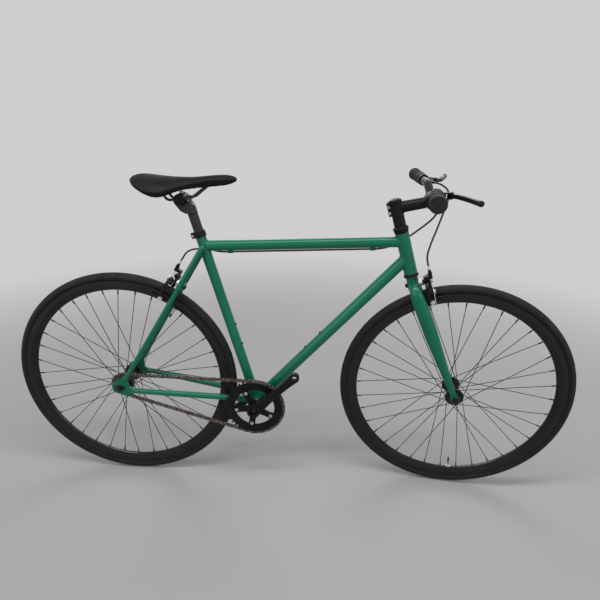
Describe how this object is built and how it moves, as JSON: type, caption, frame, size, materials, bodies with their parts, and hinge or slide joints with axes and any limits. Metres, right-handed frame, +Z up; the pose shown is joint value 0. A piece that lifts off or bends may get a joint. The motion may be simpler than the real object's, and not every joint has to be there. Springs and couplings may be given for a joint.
{
  "type": "fixed gear bicycle",
  "caption": "Fixed gear bicycle with a welded diamond frame, riser bar, rim brakes at both wheels, a chain drive without a freewheel, and open pedal eyes.",
  "frame": {"origin": "on the floor, midway between the two axles in the bicycle's middle plane", "axes": "+X forward, +Y to the rider's left, +Z up"},
  "size_m": [1.6664, 0.5839, 0.9637],
  "materials": {
    "frame_paint": "gloss",
    "black_alloy": "satin black",
    "black_steel": "satin black",
    "bright_steel": "bright",
    "chain_steel": "dark bronze",
    "tyre": "matt",
    "rubber": "matt",
    "saddle_skin": "satin",
    "housing": "satin"
  },
  "bodies": {
    "frame": {"head_tube": "frame_paint", "headset_cups": "black_alloy", "seat_tube": "frame_paint", "bottom_bracket_shell": "frame_paint", "bottom_bracket_cups": "black_steel", "down_tube": "frame_paint", "top_tube": "frame_paint", "bottle_bolts": "black_steel", "rear_dropouts": "frame_paint", "chainstays": "frame_paint", "seatstays": "frame_paint", "seat_collar": "black_alloy", "rear_axle": "bright_steel", "rear_caliper_bracket": "black_alloy", "rear_brake_housing": "housing", "chain": "chain_steel"},
    "steering": {"fork_steerer": "frame_paint", "fork_dropouts": "frame_paint", "fork_blades": "frame_paint", "headset_spacer": "black_alloy", "top_cap": "black_alloy", "stem": "black_alloy", "stem_faceplate": "black_alloy", "stem_bolts": "black_steel", "handlebar": "black_alloy", "grips": "rubber", "lever_brackets": "black_alloy", "front_axle": "bright_steel", "front_caliper_bracket": "black_alloy", "front_brake_housing": "housing", "rear_brake_loop": "housing"},
    "front_wheel": {"front_tyre": "tyre", "front_rim": "black_alloy", "front_inner_tube": "rubber", "front_spokes": "black_steel", "front_hub": "black_alloy"},
    "rear_wheel": {"rear_tyre": "tyre", "rear_rim": "black_alloy", "rear_inner_tube": "rubber", "rear_spokes": "black_steel", "rear_hub": "black_alloy", "cog": "bright_steel", "lockring": "bright_steel"},
    "crankset": {"crank_spindle": "bright_steel", "crank_right": "black_alloy", "crank_left": "black_alloy", "chainring": "black_alloy", "chainring_bolts": "bright_steel"},
    "left_lever": {"lever_left": "black_alloy"},
    "right_lever": {"lever_right": "black_alloy"},
    "front_side_arm": {"front_caliper_arm_right": "black_alloy"},
    "front_centre_arm": {"front_caliper_arm_left": "black_alloy"},
    "rear_side_arm": {"rear_caliper_arm_left": "black_alloy"},
    "rear_centre_arm": {"rear_caliper_arm_right": "black_alloy"},
    "post": {"seatpost": "black_alloy"},
    "saddle": {"saddle_cover": "saddle_skin", "saddle_rails": "black_steel", "rail_clamp": "black_alloy"}
  },
  "joints": [
    {"name": "steering", "type": "hinge", "parent": "frame", "child": "steering", "pos_m": [0.45434, 0, 0.32477], "axis": [-0.3007, 0, 0.9537], "range_deg": [-63.5, 76.5], "deforming": ["rear_brake_loop"]},
    {"name": "front_wheel_spin", "type": "hinge", "parent": "steering", "child": "front_wheel", "pos_m": [0.49603, -0.00498, 0.33792], "axis": [0.108, 0.9936, 0.034], "continuous": true},
    {"name": "rear_wheel_spin", "type": "hinge", "parent": "frame", "child": "rear_wheel", "pos_m": [-0.4963, 0, 0.338], "axis": [0, 1, 0], "continuous": true, "deforming": ["chain"]},
    {"name": "crank_spin", "type": "hinge", "parent": "frame", "child": "crankset", "pos_m": [-0.0988, 0, 0.2754], "axis": [0, 1, 0], "continuous": true},
    {"name": "left_lever_pull", "type": "hinge", "parent": "steering", "child": "left_lever", "pos_m": [0.4032, 0.12638, 0.93771], "axis": [-0.0037, -0.0515, 0.9987], "range_deg": [0, 16], "stiffness_Nm_per_rad": 2, "springref_deg": -5.73},
    {"name": "right_lever_pull", "type": "hinge", "parent": "steering", "child": "right_lever", "pos_m": [0.37278, -0.15363, 0.92812], "axis": [0, 0.0166, -0.9999], "range_deg": [0, 16], "stiffness_Nm_per_rad": 2, "springref_deg": -5.73},
    {"name": "front_side_arm_squeeze", "type": "hinge", "parent": "steering", "child": "front_side_arm", "pos_m": [0.35646, -0.02367, 0.67977], "axis": [0.9476, -0.1132, 0.2988], "range_deg": [0, 1.17]},
    {"name": "front_centre_arm_squeeze", "type": "hinge", "parent": "steering", "child": "front_centre_arm", "pos_m": [0.36124, -0.00181, 0.67289], "axis": [-0.9476, 0.1132, -0.2988], "range_deg": [0, 1.35]},
    {"name": "rear_side_arm_squeeze", "type": "hinge", "parent": "frame", "child": "rear_side_arm", "pos_m": [-0.31051, 0.022, 0.65342], "axis": [-0.8515, 0, 0.5243], "range_deg": [0, 1.17]},
    {"name": "rear_centre_arm_squeeze", "type": "hinge", "parent": "frame", "child": "rear_centre_arm", "pos_m": [-0.31471, 0, 0.64661], "axis": [0.8515, 0, -0.5243], "range_deg": [0, 1.35]},
    {"name": "seatpost_slide", "type": "slide", "parent": "frame", "child": "post", "axis": [-0.274, 0, 0.9617], "range_m": [-0.03, 0.09]},
    {"name": "saddle_tilt", "type": "hinge", "parent": "post", "child": "saddle", "pos_m": [-0.28919, 0, 0.88902], "axis": [0, 1, 0], "range_deg": [-8, 8]}
  ],
  "couplings": [
    {"joint": "crank_spin", "follows": "rear_wheel_spin", "ratio": 0.36364},
    {"joint": "front_side_arm_squeeze", "follows": "left_lever_pull", "ratio": 0.072812},
    {"joint": "front_centre_arm_squeeze", "follows": "left_lever_pull", "ratio": 0.084249},
    {"joint": "rear_side_arm_squeeze", "follows": "right_lever_pull", "ratio": 0.072812},
    {"joint": "rear_centre_arm_squeeze", "follows": "right_lever_pull", "ratio": 0.084249}
  ]
}
